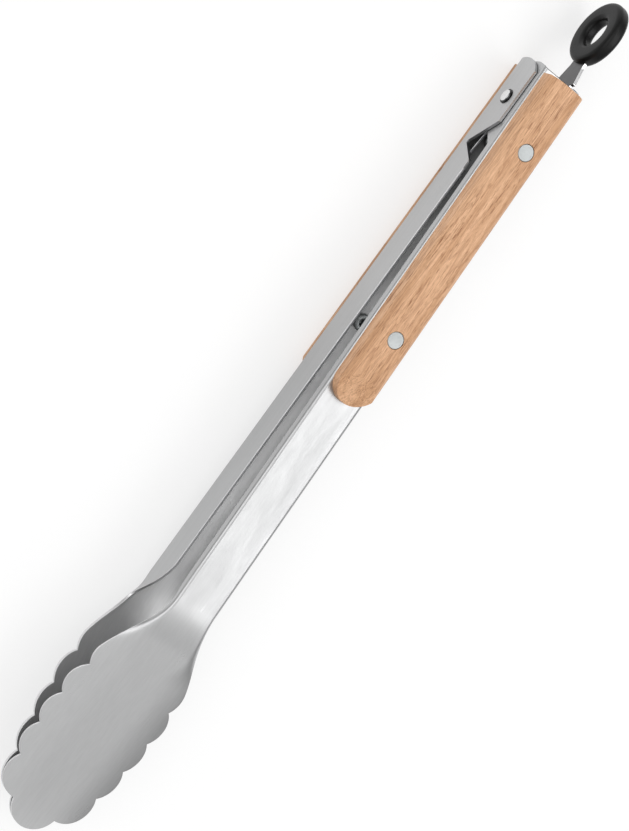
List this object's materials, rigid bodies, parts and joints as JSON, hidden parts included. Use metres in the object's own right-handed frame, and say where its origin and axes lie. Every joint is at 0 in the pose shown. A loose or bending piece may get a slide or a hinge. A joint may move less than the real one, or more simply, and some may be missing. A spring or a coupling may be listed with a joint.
{
  "type": "kitchen tongs",
  "caption": "Spring loaded kitchen tongs: two pressed steel channel arms with scalloped heads, wooden handle scales, a riveted pivot and a pull ring lock.",
  "frame": {"origin": "on the table under the middle of the closed tongs, at the flat crown of the lower handle scale", "axes": "+X along the tongs from the heads to the pull ring, +Y along the pivot pin, +Z the opening direction, upwards from the table"},
  "size_m": [0.3364, 0.0412, 0.0378],
  "materials": {
    "arm_steel": "satin, brushed along the arm",
    "handle_wood": "oiled, light straight grain",
    "rivet_metal": "satin, faced flat",
    "pin_steel": "bright, burnished head",
    "spring_steel": "drawn wire",
    "plate_steel": "satin, sheared edges",
    "ring_rubber": "smooth, slightly glossy"
  },
  "bodies": {
    "lower": {"lower_arm": "arm_steel", "lower_scale": "handle_wood", "lower_front_rivet": "rivet_metal", "lower_rear_rivet": "rivet_metal"},
    "upper": {"upper_arm": "arm_steel", "upper_scale": "handle_wood", "upper_front_rivet": "rivet_metal", "upper_rear_rivet": "rivet_metal"},
    "pin": {"pivot_rivet": "pin_steel", "pivot_bush": "pin_steel", "torsion_spring": "spring_steel"},
    "lock": {"lock_plate": "plate_steel", "pull_ring": "ring_rubber"}
  },
  "joints": [
    {"name": "arm_hinge", "type": "hinge", "parent": "lower", "child": "upper", "pos_m": [0.1208, 0, 0.01655], "axis": [0, 1, 0], "range_deg": [0, 20], "stiffness_Nm_per_rad": 0.35, "springref_deg": 34.38, "deforming": ["torsion_spring"]},
    {"name": "pin_turn", "type": "hinge", "parent": "lower", "child": "pin", "pos_m": [0.1208, 0, 0.01655], "axis": [0, 1, 0], "range_deg": [0, 10]},
    {"name": "lock_slide", "type": "slide", "parent": "pin", "child": "lock", "axis": [0.9997, 0, -0.023], "range_m": [-0.007, 0]}
  ],
  "couplings": [
    {"joint": "pin_turn", "follows": "arm_hinge", "ratio": 0.5}
  ]
}
